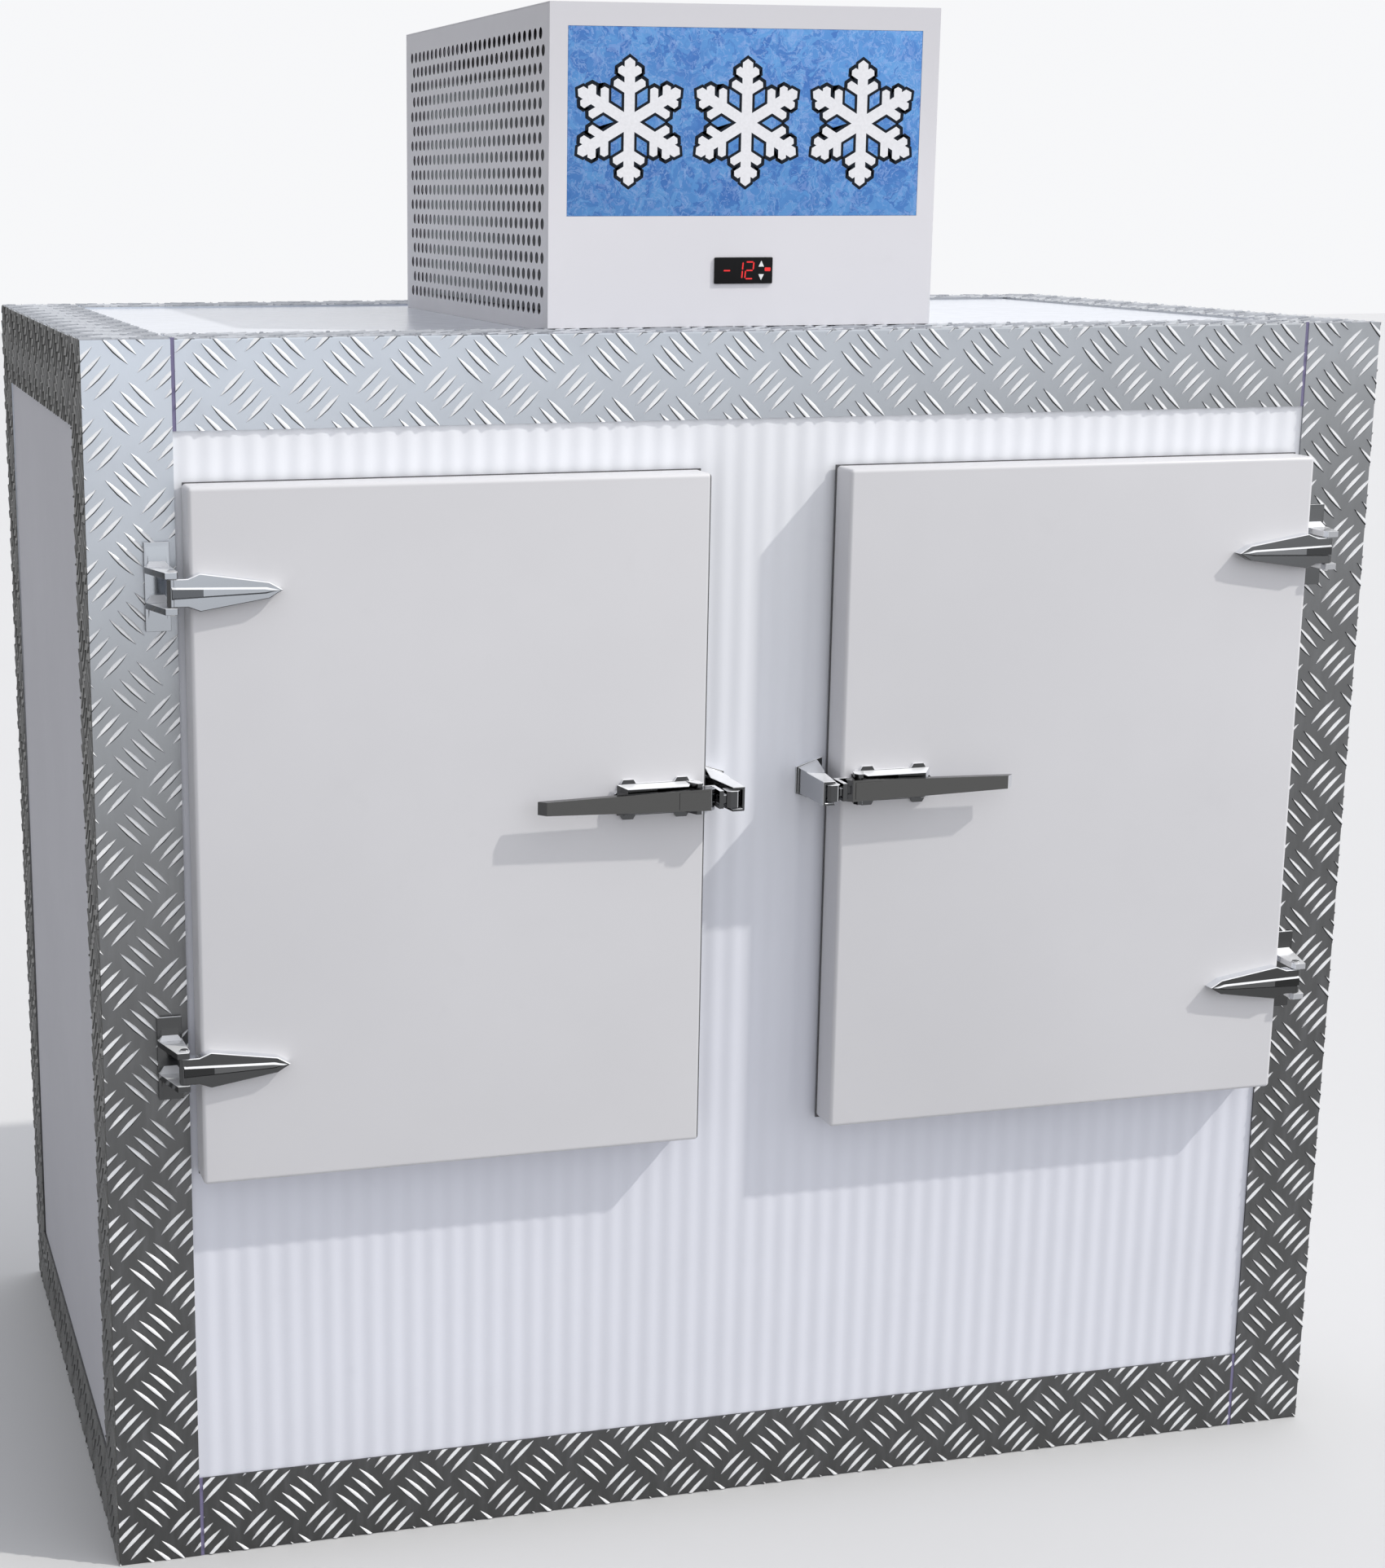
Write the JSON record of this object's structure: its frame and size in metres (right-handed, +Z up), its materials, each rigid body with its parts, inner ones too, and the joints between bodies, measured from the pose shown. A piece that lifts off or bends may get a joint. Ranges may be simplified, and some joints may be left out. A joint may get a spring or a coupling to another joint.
{
  "type": "two-door ice merchandiser freezer",
  "caption": "Insulated storage freezer box with tread plate edge trims, two side-hung doors with lever latches and a drop-in refrigeration unit with a lit sign on the roof.",
  "frame": {"origin": "centre of the box's rectangular footprint over its edge trims, on the floor", "axes": "+X towards the right door seen from the front, +Y from the front face towards the back, +Z up"},
  "size_m": [1.65, 1.053, 1.884],
  "materials": {
    "panel_white": "smooth gloss white coating",
    "lining_plastic": "satin white plastic",
    "plain_aluminium": "plain mill finish",
    "sign_acrylic": "lit blue print behind clear gloss",
    "lamp_white": "white reflective paint",
    "black_plastic": "satin black",
    "key_white": "gloss white",
    "black_metal": "satin black paint",
    "casing_grey": "satin light grey coating",
    "copper": "plain copper",
    "seam_sealant": "matt purple-grey sealant",
    "tread_aluminium": "tread pattern with bright bars",
    "chrome": "polished chrome",
    "gasket_rubber": "matt dark grey",
    "door_white": "satin warm grey-white coating"
  },
  "bodies": {
    "cabinet": {"floor_panel": "panel_white", "roof_panel": "panel_white", "side_panels": "panel_white", "back_panel": "panel_white", "front_panel": "panel_white", "front_skin": "panel_white", "doorway_linings": "lining_plastic", "floor_deck": "plain_aluminium", "corner_trim_front_left": "tread_aluminium", "corner_trim_front_right": "tread_aluminium", "corner_trims_back": "tread_aluminium", "top_trim_front": "tread_aluminium", "base_trim_front": "tread_aluminium", "side_rail_trims": "tread_aluminium", "back_rail_trims": "tread_aluminium", "seam_strips": "seam_sealant", "left_hinge_frames": "chrome", "right_hinge_frames": "chrome", "hinge_pins": "chrome", "left_strike": "chrome", "right_strike": "chrome", "unit_base": "casing_grey", "casing_front": "casing_grey", "casing_left": "casing_grey", "casing_right": "casing_grey", "casing_back": "casing_grey", "casing_top": "casing_grey", "sign_panel": "sign_acrylic", "sign_lamp": "lamp_white", "controller": "black_plastic", "condenser_coil": "plain_aluminium", "condenser_shroud": "casing_grey", "condenser_motor": "black_metal", "compressor": "black_metal", "electrical_box": "casing_grey", "refrigerant_pipes": "copper", "power_gland": "black_plastic", "evaporator_housing": "casing_grey", "evaporator_coil": "plain_aluminium", "evaporator_motor": "black_metal", "drip_tray": "lining_plastic"},
    "left_door": {"left_door_pan": "door_white", "left_door_core": "lining_plastic", "left_door_gasket": "gasket_rubber", "left_hinge_straps": "chrome", "left_latch_base": "chrome"},
    "right_door": {"right_door_pan": "door_white", "right_door_core": "lining_plastic", "right_door_gasket": "gasket_rubber", "right_hinge_straps": "chrome", "right_latch_base": "chrome"},
    "left_lever": {"left_latch_lever": "chrome"},
    "right_lever": {"right_latch_lever": "chrome"},
    "left_bolt": {"left_latch_bolt": "chrome"},
    "right_bolt": {"right_latch_bolt": "chrome"},
    "up_key": {"controller_up_key": "key_white"},
    "down_key": {"controller_down_key": "key_white"},
    "condenser_rotor": {"condenser_fan": "black_plastic"},
    "evaporator_rotor": {"evaporator_fan": "black_plastic"}
  },
  "joints": [
    {"name": "left_door_hinge", "type": "hinge", "parent": "cabinet", "child": "left_door", "pos_m": [-0.734, -0.539, 0.9432], "axis": [0, 0, -1], "range_deg": [0, 170]},
    {"name": "left_lever_pivot", "type": "hinge", "parent": "left_door", "child": "left_lever", "pos_m": [-0.104, -0.5487, 0.955], "axis": [0, 0, 1], "range_deg": [0, 32], "stiffness_Nm_per_rad": 2},
    {"name": "left_bolt_slide", "type": "slide", "parent": "left_door", "child": "left_bolt", "axis": [-1, 0, 0], "range_m": [0, 0.0035]},
    {"name": "right_door_hinge", "type": "hinge", "parent": "cabinet", "child": "right_door", "pos_m": [0.734, -0.539, 0.9432], "axis": [0, 0, 1], "range_deg": [0, 170]},
    {"name": "right_lever_pivot", "type": "hinge", "parent": "right_door", "child": "right_lever", "pos_m": [0.104, -0.5487, 0.955], "axis": [0, 0, -1], "range_deg": [0, 32], "stiffness_Nm_per_rad": 2},
    {"name": "right_bolt_slide", "type": "slide", "parent": "right_door", "child": "right_bolt", "axis": [1, 0, 0], "range_m": [0, 0.0035]},
    {"name": "up_key_press", "type": "slide", "parent": "cabinet", "child": "up_key", "axis": [0, 1, 0], "range_m": [0, 0.0006], "stiffness_N_per_m": 800},
    {"name": "down_key_press", "type": "slide", "parent": "cabinet", "child": "down_key", "axis": [0, 1, 0], "range_m": [0, 0.0006], "stiffness_N_per_m": 800},
    {"name": "condenser_fan_spin", "type": "hinge", "parent": "cabinet", "child": "condenser_rotor", "pos_m": [-0.1808, -0.0866, 1.668], "axis": [1, 0, 0], "continuous": true},
    {"name": "evaporator_fan_spin", "type": "hinge", "parent": "cabinet", "child": "evaporator_rotor", "pos_m": [-0.007, -0.1501, 1.272], "axis": [0, 0, 1], "continuous": true}
  ],
  "couplings": [
    {"joint": "left_bolt_slide", "follows": "left_lever_pivot", "m_per_rad": 0.0062667},
    {"joint": "right_bolt_slide", "follows": "right_lever_pivot", "m_per_rad": 0.0062667}
  ]
}
